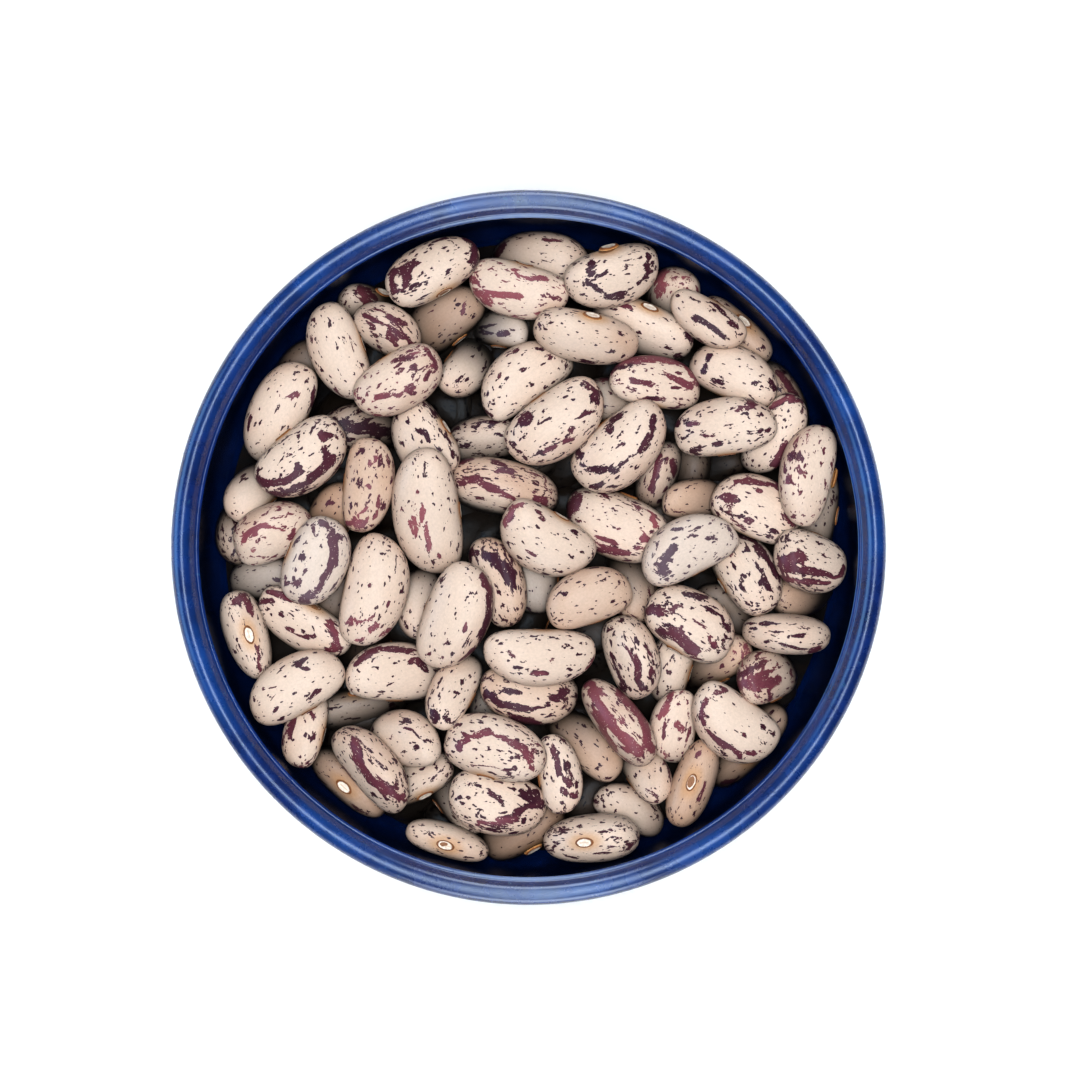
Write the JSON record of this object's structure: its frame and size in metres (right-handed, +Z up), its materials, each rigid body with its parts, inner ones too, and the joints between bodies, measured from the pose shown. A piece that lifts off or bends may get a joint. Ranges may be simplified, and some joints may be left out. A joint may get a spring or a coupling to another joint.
{
  "type": "bowl of dried beans",
  "caption": "Small round bowl with a rolled lip and an inner ledge, glazed deep blue, filled to just under the rim with a heap of speckled dried beans.",
  "frame": {"origin": "centre of the foot ring's underside", "axes": "+Z up through the bowl's axis; +Y towards the top of the picture and +X towards its right"},
  "size_m": [0.1, 0.1, 0.046],
  "materials": {
    "glaze": "glossy deep cobalt glaze with faint mottling",
    "beans": "smooth dry bean skin, satin, cream with plum and maroon flecks"
  },
  "bodies": {
    "root": {"bowl": "glaze", "bean_heap": "beans"}
  },
  "joints": []
}
